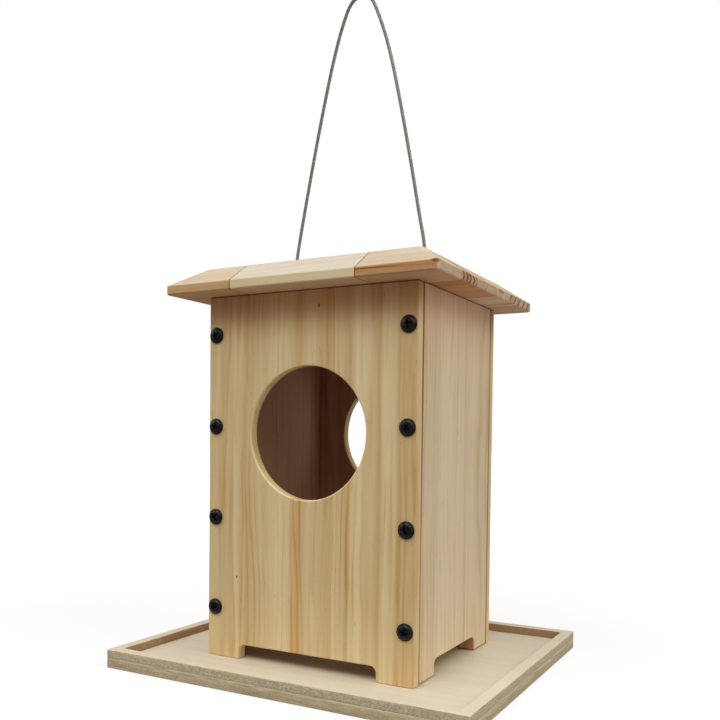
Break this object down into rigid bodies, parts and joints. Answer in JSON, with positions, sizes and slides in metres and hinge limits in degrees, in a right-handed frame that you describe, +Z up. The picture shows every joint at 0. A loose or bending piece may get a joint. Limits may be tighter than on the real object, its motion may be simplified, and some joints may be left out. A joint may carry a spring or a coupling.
{
  "type": "hanging bird feeder",
  "caption": "Wooden hopper bird feeder: a boxy tower with round holes on a rimmed tray, under a bevelled roof that slides up its steel hanging cable.",
  "frame": {"origin": "middle of the tray's underside", "axes": "+Z up, the front panel with its round hole faces -Y, +X to the right seen from the front"},
  "size_m": [0.25, 0.209, 0.448],
  "materials": {
    "pine_face": "bare planed pine, upright grain",
    "pine_side": "bare planed pine, upright grain",
    "pine_inner": "bare sawn pine",
    "pine_roof_tan": "bare sanded pine",
    "pine_roof_pale": "bare sanded pine",
    "pine_roof_orange": "bare sanded pine with a resin streak",
    "plywood": "bare plywood, pale face and weathered edge",
    "plywood_rim": "bare plywood strip, weathered edge",
    "black_screw": "black phosphate, satin",
    "plated_screw": "yellow zinc plate",
    "steel_cable": "stranded galvanised steel, slightly dull",
    "aluminium_stop": "crimped sleeve"
  },
  "bodies": {
    "feeder": {"front_panel": "pine_face", "back_panel": "pine_face", "side_panel_left": "pine_side", "side_panel_right": "pine_side", "cable_block_left": "pine_inner", "cable_block_right": "pine_inner", "screws_front_left": "black_screw", "screws_front_right": "black_screw", "screws_back_left": "black_screw", "screws_back_right": "black_screw", "tray_base": "plywood", "tray_rim_front": "plywood_rim", "tray_rim_back": "plywood_rim", "tray_rim_left": "plywood_rim", "tray_rim_right": "plywood_rim", "tray_screws": "plated_screw", "cable_loop": "steel_cable", "cable_leg_left": "steel_cable", "cable_leg_right": "steel_cable", "cable_stop_left": "aluminium_stop", "cable_stop_right": "aluminium_stop"},
    "roof": {"roof_board_left": "pine_roof_tan", "roof_board_centre": "pine_roof_pale", "roof_board_right": "pine_roof_orange", "roof_batten_front": "pine_inner", "roof_batten_back": "pine_inner", "batten_screws_front": "plated_screw", "batten_screws_back": "plated_screw"}
  },
  "joints": [
    {"name": "roof_lift", "type": "slide", "parent": "feeder", "child": "roof", "axis": [0, 0, 1], "range_m": [0, 0.08], "deforming": ["cable_loop", "cable_leg_left", "cable_leg_right"]}
  ]
}
